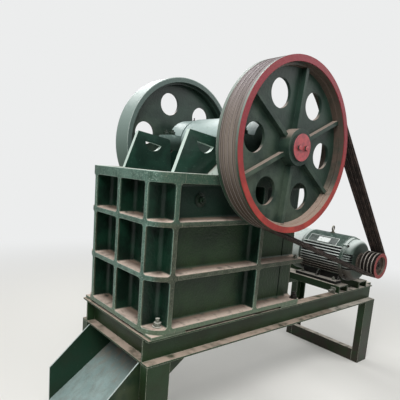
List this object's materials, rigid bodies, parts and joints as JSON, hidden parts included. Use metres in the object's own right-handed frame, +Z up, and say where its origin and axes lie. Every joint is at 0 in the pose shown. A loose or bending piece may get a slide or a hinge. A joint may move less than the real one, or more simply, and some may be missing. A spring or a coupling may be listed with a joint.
{
  "type": "jaw crusher",
  "caption": "Jaw crusher: ribbed cast frame, spoked flywheels, eccentric-driven moving jaw, V-belt drive and motor on a channel-steel stand with a discharge chute.",
  "frame": {"origin": "on the ground under the middle of the whole object's box", "axes": "+X from the discharge chute towards the motor, +Z up, +Y towards the plain flywheel's side"},
  "size_m": [2.477, 1.166, 2.099],
  "materials": {
    "frame_paint": "bottle-green enamel over cast steel, dusty on its ledges",
    "dusty_paint": "pale grey-green enamel under rock dust",
    "stand_paint": "olive-dark enamel over rolled steel, scuffed and dusty",
    "chute_plate": "thin steel plate worn bare and grey-blue",
    "jaw_steel": "cast manganese steel, dull",
    "spring_steel": "dark spring steel with light rust",
    "shaft_steel": "turned steel, oiled",
    "red_paint": "brick-red enamel",
    "motor_paint": "grey-green enamel on a cast motor",
    "belt_rubber": "black rubber belts with dusty flanks"
  },
  "bodies": {
    "root": {"front_wall": "frame_paint", "rear_wall": "frame_paint", "near_side_wall": "frame_paint", "far_side_wall": "frame_paint", "near_cheek_plate": "frame_paint", "far_cheek_plate": "frame_paint", "near_bearing_base": "frame_paint", "far_bearing_base": "frame_paint", "near_bearing_cap": "dusty_paint", "far_bearing_cap": "dusty_paint", "near_channel": "stand_paint", "far_channel": "stand_paint", "front_cross_channel": "stand_paint", "middle_cross_channel": "stand_paint", "rear_cross_channel": "stand_paint", "near_front_leg": "stand_paint", "far_front_leg": "stand_paint", "near_rear_leg": "stand_paint", "far_rear_leg": "stand_paint", "ground_beam": "stand_paint", "front_motor_rail": "stand_paint", "rear_motor_rail": "stand_paint", "chute_floor": "chute_plate", "chute_near_side": "chute_plate", "chute_far_side": "chute_plate", "fixed_jaw_plate": "jaw_steel", "toggle_plate": "jaw_steel", "toggle_seat": "jaw_steel", "tension_spring": "spring_steel", "motor_frame": "motor_paint", "motor_end_bells": "motor_paint", "fan_cover": "motor_paint", "terminal_box": "motor_paint", "v_belts": "belt_rubber"},
    "rotor": {"eccentric_shaft": "shaft_steel", "near_flywheel": "frame_paint", "far_flywheel": "frame_paint", "shaft_end_caps": "red_paint"},
    "swing_jaw": {"moving_jaw": "dusty_paint", "moving_jaw_plate": "jaw_steel", "tension_rod": "spring_steel"},
    "motor_rotor": {"motor_shaft": "shaft_steel", "motor_pulley": "red_paint"}
  },
  "joints": [
    {"name": "shaft_spin", "type": "hinge", "parent": "root", "child": "rotor", "pos_m": [-0.2715, 0, 1.649], "axis": [0, 1, 0], "continuous": true},
    {"name": "jaw_on_eccentric", "type": "hinge", "parent": "rotor", "child": "swing_jaw", "pos_m": [-0.2715, 0, 1.639], "axis": [0, 1, 0], "continuous": true},
    {"name": "motor_spin", "type": "hinge", "parent": "root", "child": "motor_rotor", "pos_m": [0.8615, 0, 0.899], "axis": [0, 1, 0], "continuous": true}
  ],
  "couplings": [
    {"joint": "jaw_on_eccentric", "follows": "shaft_spin", "ratio": -1},
    {"joint": "motor_spin", "follows": "shaft_spin", "ratio": 5}
  ]
}
